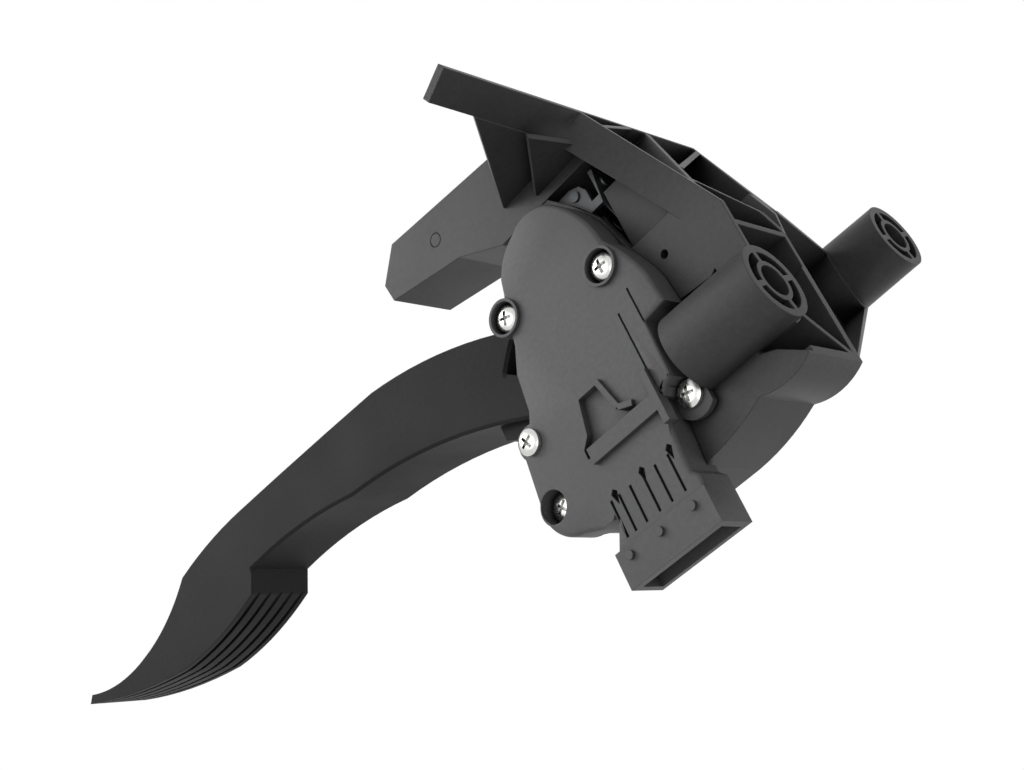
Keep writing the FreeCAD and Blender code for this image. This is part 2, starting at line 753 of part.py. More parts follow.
def tube_core(name, place_x, place_y, deep):
    """What a mounting tube is hollowed by: the bolt bore and the ring of pockets between the spokes."""
    ring = cut(name + "_ring", cylinder(
        name + "_pocket", "foot_radius - foot_wall", "foot_pocket + 1", (place_x, place_y, "-foot_pocket"), "z"),
        fuse(name + "_keep", [
            cylinder(name + "_inner", "foot_ring_radius", "foot_pocket + 1", (place_x, place_y, "-foot_pocket"), "z"),
            strip(name + "_spoke_a", (f"{place_x} - foot_radius", f"{place_y} - 3"),
                  (f"{place_x} + foot_radius", f"{place_y} + 3"), "foot_spoke", "-foot_pocket", "1"),
            strip(name + "_spoke_b", (f"{place_x} + 3", f"{place_y} - foot_radius"),
                  (f"{place_x} - 3", f"{place_y} + foot_radius"), "foot_spoke", "-foot_pocket", "1"),
        ]))
    bore = cylinder(name + "_bore", "bolt_bore_radius", f"{deep} + 1", (place_x, place_y, f"-{deep}"), "z")
    return [ring, bore]


def boss(name, screw, reach):
    """A round post inside the near wall that takes a cover screw."""
    return cylinder(name, "screw_radius + boss_wall", reach, ("near_x", screw + "_y", screw + "_z"), "x")


BOSSES = ["screw_a", "screw_b", "screw_c", "screw_d", "screw_e"]
BOSS_REACH = "screw_length - cover_high + boss_spare"
shell = cut("shell", fuse("shell_outside", [
    cut("housing_scooped", housing, fuse("wall_openings", [scoops, near_window])), flange, leg] + gussets),
    fuse("shell_inside", [flange_cells, block_cells, cavity, leg_hollow, leg_mark]))
carriers = [tube("near_tube", "0", "0"), tube("far_tube", "far_foot_x", "far_foot_y")]
carriers += [boss(name + "_boss", name, BOSS_REACH) for name in BOSSES]
bores = tube_core("near_core", "0", "0", "near_bore_deep")
bores += tube_core("far_core", "far_foot_x", "far_foot_y", "far_bore_deep")
bores += [cylinder(name + "_hole", "screw_radius", "screw_length", ("near_x - 1", name + "_y", name + "_z"), "x")
          for name in BOSSES]
bores += [
    cylinder("shaft_bore", "shaft_radius + running_gap + bush_wall", "housing_wide + 2",
             ("near_x - 1", "pivot_y", "pivot_z"), "x"),
    cylinder("wall_hole", "1.2", "wall + 1", ("near_x - 0.5", "27", "-22.9"), "x"),
]
bracket = cut("bracket", fuse("bracket_solid", [shell] + carriers), fuse("bracket_bores", bores))

# Pedal arm: the outer arm is a channel open to the front, and its narrow head turns inside the housing.
HUB_NEAR = f"{NEAR_IN} + bush_flange_thick + side_gap"
HUB_WIDE = f"{CAVITY_WIDE} - 2 * bush_flange_thick - 2 * side_gap"
SEAT_NEAR = f"{NEAR_IN} + seat_inset"


def round_pivot(radius, angle):
    """A place at a radius from the pivot, at an angle below the level."""
    return (f"pivot_y + ({radius}) * cos({angle})", f"pivot_z - ({radius}) * sin({angle})")


arm_outer = new_body("arm_outer")
pad(arm_outer, outline(arm_outer, "arm_outline", "YZ_Plane", "near_x", [
    corner("arm_front_a"),
    (*corner("arm_front_b"), "bend"),
    corner("arm_front_c"),
    (*corner("arm_front_d"), "bend"),
    corner("arm_front_e"),
    (*corner("arm_front_f"), "bend"),
    corner("arm_front_g"),
    (*corner("arm_front_h"), "bend"),
    corner("arm_front_i"),
    (*corner("arm_front_j"), "bend"),
    corner("arm_front_k"),
    corner("arm_tip"),
    (*corner("pad_low"), "bend"),
    corner("pad_mid"),
    (*corner("pad_high"), "bend"),
    corner("pad_top"),
    corner("pad_lip"),
    (*corner("arm_rear_a"), "bend"),
    corner("arm_rear_b"),
    (*corner("arm_rear_c"), "bend"),
    corner("arm_rear_d"),
    round_pivot("shoulder_radius", "shoulder_angle"),
    round_pivot("notch_radius", "notch_angle"),
]), "arm_wide")
arm_head = fuse("arm_head", [
    cylinder("hub", "hub_radius", HUB_WIDE, (HUB_NEAR, "pivot_y", "pivot_z"), "x"),
    slab("neck", "YZ_Plane", HUB_NEAR, HUB_WIDE, [
        corner("neck_rear_high"),
        corner("neck_rear"),
        corner("neck_rear_low"),
        corner("neck_low"),
        corner("neck_front_low"),
        corner("neck_front"),
        corner("neck_front_mid"),
        corner("neck_root"),
        corner("lobe_root"),
        corner("lobe_under"),
        corner("lobe_chin"),
        ("lobe_end", "lobe_top"),
        ("hub_shoulder_y", "lobe_top"),
        corner("hub_crown"),
        ("pivot_y", "pivot_z"),
    ]),
])
channel = slab("channel", "YZ_Plane", "near_x + arm_skin", "arm_wide - 2 * arm_skin", [
    corner("arm_front_c", "8", "-6"),
    corner("arm_front_e", "8", "0"),
    corner("arm_front_g", "8", "2"),
    corner("arm_front_g", "-6", "2"),
    corner("pad_lip", "arm_skin + 1", "-14"),
    corner("pad_lip", "arm_skin", "6"),
    corner("arm_rear_a", "arm_skin"),
    corner("arm_rear_b", "arm_skin + 1"),
    corner("arm_rear_c", "arm_skin + 3", "-13"),
])
webs = [
    slab(f"web_{count}", "YZ_Plane", "near_x", "arm_wide", [
        (f"arm_rear_b_y - 4 + {shift}", f"arm_rear_b_z + 6 - {drop}"),
        (f"arm_rear_b_y + 40 + {shift}", f"arm_rear_b_z - 14 - {drop}"),
        (f"arm_rear_b_y + 40 + {shift}", f"arm_rear_b_z - 14 - {drop} - rib"),
        (f"arm_rear_b_y - 4 + {shift}", f"arm_rear_b_z + 6 - {drop} - rib"),
    ])
    for count, (shift, drop) in enumerate(((0, 12), (1, 32), (2, 52), (2, 72)), 1)
]
arm_open = cut("arm_open", arm_outer, cut("channel_cells", channel, fuse("webs", webs)))
tread = new_body("tread")
tread.AllowCompound = True
tread_outline = outline(tread, "tread_outline", "YZ_Plane",
                        "near_x + (arm_wide - groove_wide - groove_pitch * (groove_count - 1)) / 2", [
    corner("arm_tip", "-groove_deep - 3", "groove_deep"),
    corner("arm_tip", "groove_deep / 2", "groove_deep * 2"),
    (*corner("pad_low", "groove_deep"), "bend"),
    corner("pad_mid", "groove_deep"),
    (*corner("pad_high", "groove_deep"), "bend"),
    corner("pad_top", "groove_deep", "5"),
    corner("pad_top", "-12", "5"),
    corner("pad_mid", "-6"),
])
groove = pad(tread, tread_outline, "groove_wide")
grooves = row_of(tread, groove, tread_outline, "groove_count", "groove_pitch")
BOSS_PATH = ("sqrt((screw_b_y - pivot_y) ^ 2 + (screw_b_z - pivot_z) ^ 2)"
             " + screw_radius + boss_wall + side_gap")
boss_way = slab("boss_way", "YZ_Plane", "near_x - 1", f"{BOSS_REACH} + 1 + side_gap", [
    round_pivot("notch_radius - 2", "notch_angle + 0.5"),
    round_pivot(BOSS_PATH, "notch_angle + 0.5"),
    (*round_pivot(BOSS_PATH, "notch_angle - 8"), "bend"),
    round_pivot(BOSS_PATH, "notch_angle - 20"),
    round_pivot("notch_radius - 2", "notch_angle - 20"),
])
arm_cuts = fuse("arm_cuts", [
    tread,
    boss_way,
    cylinder("hub_bore", "shaft_radius", "arm_wide", ("near_x", "pivot_y", "pivot_z"), "x"),
    box("tab_relief", (f"{HUB_NEAR} - 1", "tab_rear - 4", "lobe_root_z - 1"),
        (f"{SEAT_NEAR} + seat_plate + rivet_tail + side_gap - ({HUB_NEAR} - 1)", "lobe_end",
         "lobe_top - lobe_root_z + 2")),
])
pedal_arm = cut("pedal_arm", fuse("arm_solid", [arm_open, arm_head]), arm_cuts)

# Pivot: a pin pressed into the hub, turning in two flanged bushes of the housing walls.
SHAFT_NEAR = "near_x - 1.7"
pivot_shaft = cut("pivot_shaft", fuse("shaft_solid", [
    cylinder("shaft_pin", "shaft_radius", f"{FAR_X} + 2.4 - ({SHAFT_NEAR})", (SHAFT_NEAR, "pivot_y", "pivot_z"), "x"),
    cylinder("shaft_neck", "rotor_bore", "rotor_thick", (f"{SHAFT_NEAR} - rotor_thick", "pivot_y", "pivot_z"), "x"),
]), cut("clip_groove", cylinder(
    "groove_outside", "shaft_radius + 1", "clip_thick", (f"{FAR_X} + side_gap", "pivot_y", "pivot_z"), "x"),
    cylinder("groove_core", "shaft_radius - clip_deep", "clip_thick",
             (f"{FAR_X} + side_gap", "pivot_y", "pivot_z"), "x")))
shaft_clip = cut("shaft_clip", cut("clip_ring", cylinder(
    "clip_outside", "shaft_radius + 2", "clip_thick", (f"{FAR_X} + side_gap", "pivot_y", "pivot_z"), "x"),
    cylinder("clip_hole", "shaft_radius - clip_deep", "clip_thick",
             (f"{FAR_X} + side_gap", "pivot_y", "pivot_z"), "x")),
    box("clip_mouth", (f"{FAR_X} + side_gap", "pivot_y - 2.4", "pivot_z - shaft_radius - 3"),
        ("clip_thick", "4.8", "shaft_radius + 3 - 2")))


def bush(name, sleeve_x, flange_x):
    """A flanged bush, whose flange lies against the inside of a wall."""
    middle = ("pivot_y", "pivot_z")
    return cut(name, fuse(name + "_solid", [
        cylinder(name + "_sleeve", "shaft_radius + running_gap + bush_wall", "wall", (sleeve_x, *middle), "x"),
        cylinder(name + "_flange", "shaft_radius + bush_flange", "bush_flange_thick", (flange_x, *middle), "x"),
    ]), cylinder(name + "_hole", "shaft_radius + running_gap", "housing_wide", ("near_x", *middle), "x"))


bush_near = bush("bush_near", "near_x", NEAR_IN)
bush_far = bush("bush_far", f"{FAR_X} - wall", f"{FAR_X} - wall - bush_flange_thick")

# Return springs: two coils, one inside the other, between the lever's cup and the seat plate.
SPRING_X = "near_x + housing_wide / 2"
CUP_RADIUS = "spring_radius + spring_wire + cup_gap + cup_wall"
spring_cup = cut("spring_cup", cylinder(
    "cup_outside", CUP_RADIUS, "cup_high", (SPRING_X, "spring_y", "lobe_top"), "z"), cylinder(
    "cup_inside", f"{CUP_RADIUS} - cup_wall", "cup_high", (SPRING_X, "spring_y", "lobe_top + cup_floor"), "z"))


def spring(name, radius, wire):
    """A coil spring, standing on the floor of the cup and reaching up to the seat plate."""
    low = f"lobe_top + cup_floor + {wire}"
    reach = f"seat_z - seat_plate - {wire} - ({low})"
    helix = doc.addObject("Part::Helix", name + "_path")
    helix.setExpression("Radius", bound(radius))
    helix.setExpression("Height", bound(reach))
    helix.setExpression("Pitch", bound(f"({reach}) / spring_turns"))
    ring = doc.addObject("Part::RegularPolygon", name + "_wire")
    ring.setExpression("Polygon", bound("wire_sides"))
    ring.setExpression("Circumradius", bound(wire))
    ring.Placement = FreeCAD.Placement(FreeCAD.Vector(), FreeCAD.Rotation(FreeCAD.Vector(1, 0, 0), 90))
    ring.setExpression("Placement.Base.x", bound(radius))
    coil = doc.addObject("Part::Sweep", name)
    coil.Sections = [ring]
    coil.Spine = (helix, [])
    coil.Solid = True
    coil.Frenet = True
    return put(coil, (SPRING_X, "spring_y", low))


outer_spring = spring("outer_spring", "spring_radius", "spring_wire")
inner_spring = spring("inner_spring", "inner_spring_radius", "inner_spring_wire")
SEAT_WIDE = f"{CAVITY_WIDE} - 2 * seat_inset"
seat_plate = fuse("seat_plate_solid", [
    box("seat_level", (SEAT_NEAR, "seat_rear", "seat_z - seat_plate"),
        (SEAT_WIDE, "seat_front - seat_rear", "seat_plate")),
    slab("seat_tab", "YZ_Plane", SEAT_NEAR, "seat_plate", [
        ("tab_rear", "seat_z"),
        ("tab_rear", "tab_low"),
        ("seat_front", "tab_low"),
        corner("tab_front"),
        corner("tab_crown"),
        corner("tab_top"),
        corner("tab_neck"),
        ("tab_neck_y", "seat_z"),
    ]),
])
seat_block = slab("seat_block", "YZ_Plane", SEAT_NEAR, SEAT_WIDE, [
    ("seat_block_rear", "seat_z"),
    ("seat_block_front", "seat_z"),
    ("seat_block_front", f"{PLATE_LOW} - slope_forward * (seat_block_front - flange_knee_y)"),
    ("seat_block_rear", f"{PLATE_LOW} - slope_forward * (seat_block_rear - flange_knee_y)"),
])


def rivet(name, place, along):
    """A rivet through the seat plate: its tail lies at its place, and its head at the other side."""
    spots = [[f"{start} + {lift}" if axis == along else start for axis, start in zip("xyz", place)]
             for lift in ("-rivet_tail", "0", "seat_plate")]
    return fuse(name, [
        cylinder(name + "_tail", "rivet_head - 0.4", "rivet_tail", spots[0], along),
        cylinder(name + "_shank", "rivet_radius", "seat_plate", spots[1], along),
        cylinder(name + "_head", "rivet_head", "rivet_tail", spots[2], along),
    ])


RIVET_SPOTS = {
    "rivet_low": ((SEAT_NEAR, "rivet_low_y", "rivet_low_z"), "x"),
    "rivet_high": ((f"{SEAT_NEAR} + rivet_in", "rivet_high_y", "seat_z - seat_plate"), "z"),
}
rivets = {name: rivet(name, place, along) for name, (place, along) in RIVET_SPOTS.items()}
seat_plate = cut("seat_plate_drilled", seat_plate, fuse("rivet_holes", [
    cylinder(name + "_hole", "rivet_radius", "seat_plate", place, along)
    for name, (place, along) in RIVET_SPOTS.items()]))

# Friction shoe behind the hub, and the idle bumper.
friction_shoe = slab("friction_shoe", "YZ_Plane", f"{HUB_NEAR} + 1", f"{HUB_WIDE} - 2", [
    corner("shoe_high"),
    ("pivot_y - hub_radius - side_gap", "pivot_z", "bend"),
    corner("shoe_low"),
    ("house_rear_y + wall", "shoe_low_z"),
    ("house_rear_y + wall", "shoe_high_z"),
])
idle_bumper = cut("idle_bumper", cylinder(
    "bumper_outside", "screw_radius + boss_wall + bumper_wall", "bumper_wide",
    (HUB_NEAR, "screw_c_y", "screw_c_z"), "x"), fuse("bumper_room", [
        cylinder("bumper_hole", "screw_radius + boss_wall", "bumper_wide",
                 (HUB_NEAR, "screw_c_y", "screw_c_z"), "x"),
        box("bumper_floor", (HUB_NEAR, "screw_c_y - foot_radius", "screw_c_z - foot_radius"),
            ("bumper_wide", "foot_radius + 0.2", "foot_radius - 1")),
    ]))

# Sensor cover: a lid with screw posts, and the shroud of the connector moulded to its side.
FACE = "near_x - cover_high"
RIM = "cover_high - gasket_thick"
COVER_BENDS = "acenx"
COVER_EDGE = [corner(f"cover_{letter}") + (("bend",) if letter in COVER_BENDS else ())
              for letter in "abcdefghijklmnopqrstuvwxy"]


def ring_inside(name, sketch, inset, place_x, thick):
    """The space inside an outline of the cover, drawn in by an even wall."""
    inner = doc.addObject("Part::Offset2D", name + "_edge")
    inner.Source = sketch
    inner.setExpression("Value", bound(f"-({inset})"))
    block = doc.addObject("Part::Extrusion", name)
    block.Base = inner
    block.DirMode = "Custom"
    block.Dir = FreeCAD.Vector(1, 0, 0)
    block.Solid = True
    block.setExpression("LengthFwd", bound(thick))
    return block


cover_body = new_body("cover_plain")
cover_outline = outline(cover_body, "cover_outline", "YZ_Plane", FACE, COVER_EDGE)
pad(cover_body, cover_outline, RIM)
cover_inside_body = new_body("cover_inside_body")
cover_inside_outline = outline(cover_inside_body, "cover_inside_outline", "YZ_Plane", f"{FACE} + cover_face",
                               COVER_EDGE)
cover_hollow = ring_inside("cover_hollow", cover_inside_outline, "cover_wall", f"{FACE} + cover_face", "cover_high")


def post(name, radius, low, high):
    return cylinder(name + "_post", radius, f"({high}) - ({low})", (low, name + "_y", name + "_z"), "x")


def sunk(name, radius, low, high):
    centre = name[:len("screw_a")]
    return cylinder(name + "_sunk", radius, f"({high}) - ({low})", (low, centre + "_y", centre + "_z"), "x")


def moat(name):
    """The ring of room round a screw's head, deeper than its seat."""
    return cut(name + "_moat", sunk(name + "_moat_outside", "counterbore", f"{FACE} - 1", f"{FACE} + ring_moat + head_sunk"),
               sunk(name + "_moat_inside", "head_post", f"{FACE} - 1", f"{FACE} + ring_moat + head_sunk"))


RIM_END = "near_x - gasket_thick"
EAR = "near_x - ear_high"
HEAD_ROOM = "screw_head_radius + 0.5"
SHROUD_FAR = f"{FACE} + shroud_thick"
shroud = fuse("shroud", [
    slab("shroud_base", "YZ_Plane", FACE, RIM, [
        ("cover_q_y + 8", "shroud_high_z"),
        corner("shroud_high"),
        ("shroud_high_y", "shroud_low_z"),
        ("cover_q_y + 8", "shroud_low_z"),
    ]),
    slab("shroud_box", "YZ_Plane", FACE, "shroud_thick", [
        corner("shroud_low", "0", "0"),
        ("shroud_low_y", "shroud_high_z"),
        corner("shroud_high"),
        corner("shroud_top"),
        ("mouth_y", "shroud_top_z"),
        ("mouth_y", "shroud_foot_z"),
        corner("shroud_foot"),
    ]),
])
shroud_hollow = slab("shroud_hollow", "YZ_Plane", f"{FACE} + shroud_wall", "shroud_thick - 2 * shroud_wall", [
    ("shroud_high_y - 1", "shroud_high_z - shroud_wall"),
    ("mouth_y - 5", "shroud_top_z - shroud_wall"),
    ("mouth_y - 5", "shroud_foot_z + shroud_wall"),
    ("shroud_foot_y + 1", "shroud_foot_z + shroud_wall"),
    ("shroud_high_y - 1", "shroud_low_z + shroud_wall"),
])
pocket_edge = [
    corner("pocket_a"),
    corner("pocket_b"),
    corner("pocket_c"),
    corner("pocket_d"),
    ("cover_r_y", "pocket_d_z"),
    ("cover_r_y", "pocket_e_z"),
    corner("pocket_e"),
    corner("pocket_f"),
]
cover_solid = fuse("cover_solid", [
    cut("cover_shell", cover_body, cover_hollow),
    shroud,
    box("mouth_band", (f"{FACE} - band_high", "mouth_y", "shroud_foot_z"),
        ("band_high + 1", "band_wide", "shroud_top_z - shroud_foot_z")),
    post("screw_a", "counterbore + ring_wall", f"{FACE} - ring_high", RIM_END),
    post("screw_b", "counterbore + ring_wall", f"{FACE} - ring_high", RIM_END),
    post("screw_c", "counterbore + ring_wall", FACE, RIM_END),
    post("screw_d", "counterbore + ring_wall", FACE, RIM_END),
    post("screw_e", "ear_radius", EAR, RIM_END),
    common("pocket_floor", [cover_body, slab("pocket_block", "YZ_Plane", FACE, "pocket_deep + pocket_floor", [
        ("pocket_a_y + cover_wall", "pocket_e_z - cover_wall"),
        ("pocket_a_y + cover_wall", "pocket_d_z + cover_wall"),
        ("cover_r_y - cover_wall", "pocket_d_z + cover_wall"),
        ("cover_r_y - cover_wall", "pocket_e_z - cover_wall"),
    ])]),
])
PIP_HEIGHTS = ("pip_a_z", "pip_b_z", "pip_c_z")
pips = [cylinder(f"pip_{step}", "pip_radius", "band_high + pip_high + 1",
                 (f"{FACE} - band_high - pip_high", "mouth_y + pip_in", height), "x")
        for step, height in enumerate(PIP_HEIGHTS, 1)]
slots = [box(f"slot_{step}", (f"{FACE} - 1", "slot_start - slot_long", f"{height} - slot_wide / 2"),
             ("1 + slot_deep", "slot_long", "slot_wide"))
         for step, height in enumerate(("slot_a_z", "slot_b_z", "slot_c_z", "slot_d_z", "slot_e_z", "slot_f_z"), 1)]
slots += [slab(f"arrow_{step}", "YZ_Plane", f"{FACE} - 1", "1 + 2 * slot_deep", [
    ("slot_start + arrow_side", height),
    ("slot_start + arrow_side / 2", f"{height} + arrow_side / 2"),
    ("slot_start - arrow_side", height),
    ("slot_start + arrow_side / 2", f"{height} - arrow_side / 2"),
]) for step, height in enumerate(("arrow_a_z", "arrow_b_z", "arrow_c_z"), 1)]
cover_cuts = fuse("cover_cuts", [
    shroud_hollow,
    slab("pocket", "YZ_Plane", f"{FACE} - 1", "1 + pocket_deep", pocket_edge),
    moat("screw_a"),
    moat("screw_b"),
    sunk("screw_a", "counterbore", f"{FACE} - ring_high - 1", f"{FACE} + head_sunk"),
    sunk("screw_b", "counterbore", f"{FACE} - ring_high - 1", f"{FACE} + head_sunk"),
    sunk("screw_d", "counterbore", f"{FACE} - 1", f"{FACE} + deep_sunk"),
    cylinder("bolt_way", "bolt_bore_radius + side_gap", "near_bore_deep + side_gap",
             ("0", "0", "-near_bore_deep - side_gap"), "z"),
    box("tube_room", (f"{FACE} - 1", "screw_e_y - 2 * ear_radius", "-ear_top"),
        ("cover_high + 2", "3 * ear_radius", "ear_radius")),
    sunk("screw_e", HEAD_ROOM, f"{FACE} - 1", EAR),
] + [cylinder(name + "_way", "screw_radius + running_gap", "cover_high + 2",
              (f"{FACE} - 1.5", name + "_y", name + "_z"), "x") for name in BOSSES] + [
    box("groove_high", (f"{FACE} - 1", "cover_u_y", "cover_u_z - groove_cut / 2"),
        ("1 + groove_cut", "22 - cover_u_y", "groove_cut")),
    box("groove_low", (f"{FACE} - 1", "-5", "-37.9"), ("1 + groove_cut", "23.2", "groove_cut")),
    cylinder("rotor_room", "rotor_radius + 1", "cover_high",
             (f"{FACE} + pocket_deep + pocket_floor", "pivot_y", "pivot_z"), "x"),
] + slots)
latch = fuse("latch", pips + [
    box("latch_bar", (f"{FACE} - 1.5", "-10", "-63"), ("4", "4.5", "23.6")),
    box("latch_end", (f"{FACE} - 1.5", "-14", "-39.4"), ("3.5", "15", "2")),
    strip_x("latch_wedge_a", ("pocket_b_y", "pocket_b_z"), ("pocket_c_y", "pocket_c_z"), "1.6"),
    strip_x("latch_wedge_b", ("pocket_c_y", "pocket_c_z"), ("pocket_d_y", "pocket_d_z"), "1.6"),
])
sensor_cover = fuse("cover_latched", [cut("cover_cut", cover_solid, cover_cuts), latch])
gasket_body = new_body("gasket_plain")
gasket_outline = outline(gasket_body, "gasket_outline", "YZ_Plane", RIM_END, COVER_EDGE)
pad(gasket_body, gasket_outline, "gasket_thick")
cover_gasket = cut("cover_gasket", cut("gasket_ring", gasket_body, ring_inside(
    "gasket_hollow", gasket_outline, "cover_wall", RIM_END, "gasket_thick")), fuse("gasket_ways", [
        cylinder(name + "_gasket_way", "screw_radius + running_gap", "3",
                 (f"{RIM_END} - 1", name + "_y", name + "_z"), "x") for name in BOSSES]))


def screw(name, seat):
    """A pan-head screw under the near side, with its cross recess left to the finish."""
    rim = f"{seat} - screw_head_high / 2"
    return fuse(name, [
        cone(name + "_crown", "screw_head_radius * 0.7", "screw_head_radius", "screw_head_high / 2",
             (f"{seat} - screw_head_high", name + "_y", name + "_z"), "x"),
        cylinder(name + "_head", "screw_head_radius", "screw_head_high / 2",
                 (rim, name + "_y", name + "_z"), "x"),
        cylinder(name + "_shank", "screw_radius", f"near_x + 10 - ({seat})",
                 (seat, name + "_y", name + "_z"), "x"),
    ])


SEATS = {
    "screw_a": f"{FACE} + head_sunk",
    "screw_b": f"{FACE} + head_sunk",
    "screw_c": FACE,
    "screw_d": f"{FACE} + deep_sunk",
    "screw_e": EAR,
}
screws = {name: screw(name, seat) for name, seat in SEATS.items()}

# Sensor: a rotor on the end of the pivot pin, its magnet, and the board against the lid.
ROTOR_NEAR = f"{SHAFT_NEAR} - rotor_thick"
sensor_rotor = cut("sensor_rotor", cylinder(
    "rotor_disc", "rotor_radius", "rotor_thick", (ROTOR_NEAR, "pivot_y", "pivot_z"), "x"), cylinder(
    "rotor_hole", "rotor_bore", "rotor_thick", (ROTOR_NEAR, "pivot_y", "pivot_z"), "x"))
rotor_magnet = cylinder("rotor_magnet", "rotor_radius - 2.5", "magnet_thick",
                        (f"{ROTOR_NEAR} - magnet_thick", "pivot_y", "pivot_z"), "x")
sensor_board = box("sensor_board", (f"{FACE} + cover_face + 0.1", "pivot_y + 5", "pivot_z - 8"),
                   ("board_thick", "board_long", "board_high"))

# Connector terminals, in one row along the shroud.
PIN_X = f"{FACE} + shroud_thick / 2"
terminals = []
for step in range(int(value("pin_count"))):
    rise = f"(shroud_high_z + shroud_low_z) / 2 + ({step} - (pin_count - 1) / 2) * pin_pitch"
    terminals.append(box(
        f"terminal_{step + 1}", (f"{PIN_X} - pin_wide / 2", "mouth_y + pin_tip", f"{rise} - pin_wide / 2"),
        ("pin_wide", "shroud_high_y - mouth_y - pin_tip + 6", "pin_wide")))
pin_ways = fuse("pin_ways", terminals)
sensor_cover = cut("sensor_cover_pinned", sensor_cover, pin_ways)

pieces = {
    "bracket": bracket,
    "pedal_arm": pedal_arm,
    "sensor_cover": sensor_cover,
    "cover_gasket": cover_gasket,
    **{f"cover_{name}": item for name, item in screws.items()},
    "pivot_shaft": pivot_shaft,
    "shaft_clip": shaft_clip,
    "bush_near": bush_near,
    "bush_far": bush_far,
    "outer_spring": outer_spring,
    "inner_spring": inner_spring,
    "spring_cup": spring_cup,
    "seat_plate": seat_plate,
    "seat_block": seat_block,
    **rivets,
    "friction_shoe": friction_shoe,
    "idle_bumper": idle_bumper,
    "sensor_rotor": sensor_rotor,
    "rotor_magnet": rotor_magnet,
    "sensor_board": sensor_board,
    **{f"terminal_{step}": item for step, item in enumerate(terminals, 1)},
}
doc.recompute()
failed = [item.Name for item in doc.Objects if "Invalid" in item.State or "Error" in item.State]
if failed:
    raise RuntimeError("these features failed: " + ", ".join(failed))
for name, item in pieces.items():
    item.Label = name
    if item.Shape.isNull() or not item.Shape.isValid():
        raise RuntimeError(name + " has no sound shape")
os.makedirs("parts", exist_ok=True)
for name, item in pieces.items():
    item.Shape.exportStep(f"parts/{name}.step")
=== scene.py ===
import bmesh
import bpy
import math
from mathutils import Matrix, Vector
from mathutils.bvhtree import BVHTree


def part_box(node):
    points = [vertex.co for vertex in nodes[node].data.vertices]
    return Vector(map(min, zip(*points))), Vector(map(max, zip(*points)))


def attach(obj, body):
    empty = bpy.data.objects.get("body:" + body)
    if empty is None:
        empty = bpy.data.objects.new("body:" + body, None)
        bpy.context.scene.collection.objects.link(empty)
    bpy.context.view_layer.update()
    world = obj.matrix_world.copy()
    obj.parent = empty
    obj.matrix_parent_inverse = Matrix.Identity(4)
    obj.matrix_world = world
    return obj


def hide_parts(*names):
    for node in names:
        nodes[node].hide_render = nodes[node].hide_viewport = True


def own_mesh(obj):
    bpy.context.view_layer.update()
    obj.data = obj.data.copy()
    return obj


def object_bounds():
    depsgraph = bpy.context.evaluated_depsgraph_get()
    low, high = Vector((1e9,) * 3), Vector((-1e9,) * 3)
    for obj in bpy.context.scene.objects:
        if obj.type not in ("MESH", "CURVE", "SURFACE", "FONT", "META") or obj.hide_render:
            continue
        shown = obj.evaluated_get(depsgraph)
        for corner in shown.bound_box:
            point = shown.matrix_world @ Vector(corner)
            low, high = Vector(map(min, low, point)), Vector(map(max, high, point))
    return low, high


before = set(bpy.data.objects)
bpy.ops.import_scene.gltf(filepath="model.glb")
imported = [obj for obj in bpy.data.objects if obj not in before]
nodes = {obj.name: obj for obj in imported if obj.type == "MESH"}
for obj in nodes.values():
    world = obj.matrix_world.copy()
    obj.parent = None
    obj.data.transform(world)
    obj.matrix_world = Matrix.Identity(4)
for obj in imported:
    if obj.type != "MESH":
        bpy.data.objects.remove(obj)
cad_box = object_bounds()

# The pedal lies in front of the camera as it was photographed: seen from the sensor side, from a little
# behind and above, so that the bolt feet point to the upper right and the tread to the lower left.
CAMERA_PLACE = Vector((-0.28758, -0.15484, 0.12973))
CAMERA_RIGHT = Vector((0.6925, -0.3732, 0.6174))
CAMERA_UP = Vector((-0.0860, 0.8070, 0.5843))
camera = bpy.data.objects.new("camera", bpy.data.cameras.new("camera"))
camera.data.sensor_width = 36
camera.data.lens = 52.11
camera.data.clip_start = 0.01
camera.data.clip_end = 20
right = CAMERA_RIGHT.normalized()
back = right.cross(CAMERA_UP).normalized()
above = back.cross(right)
camera.matrix_world = Matrix.Translation(CAMERA_PLACE) @ Matrix((right, above, back)).transposed().to_4x4()
bpy.context.scene.collection.objects.link(camera)
bpy.context.scene.camera = camera
bpy.context.scene.view_settings.view_transform = "Standard"

# The studio is white all round: a wide paper floor well below the tread, a white room for whatever looks
# past it, and soft round lamps, of which the key stands low on the sensor side, away from the driver.


def srgb(code):
    """Turns a hex colour into the linear one that a shader takes."""
    parts = [int(code[at:at + 2], 16) / 255 for at in (0, 2, 4)]
    return [part / 12.92 if part <= 0.04045 else ((part + 0.055) / 1.055) ** 2.4 for part in parts] + [1]


def add(tree, kind, inputs=None, **settings):
    """Adds a node. Settings are its own, or its inputs' by name, and inputs take a link or a value."""
    node = tree.nodes.new(kind)
    for name, setting in settings.items():
        if hasattr(node, name):
            setattr(node, name, setting)
        else:
            node.inputs[name.replace("_", " ")].default_value = setting
    for name, source in (inputs or {}).items():
        if isinstance(source, bpy.types.NodeSocket):
            tree.links.new(source, node.inputs[name])
        else:
            node.inputs[name].default_value = source
    return node


def seen_share(tree):
    """One for what the eye sees, straight, mirrored or through glass, and nought for light on the pedal."""
    rays = add(tree, "ShaderNodeLightPath")
    seen = add(tree, "ShaderNodeMath", {0: rays.outputs["Is Camera Ray"], 1: rays.outputs["Is Glossy Ray"]},
               operation="MAXIMUM")
    return add(tree, "ShaderNodeMath", {0: seen.outputs[0], 1: rays.outputs["Is Transmission Ray"]},
               operation="MAXIMUM")


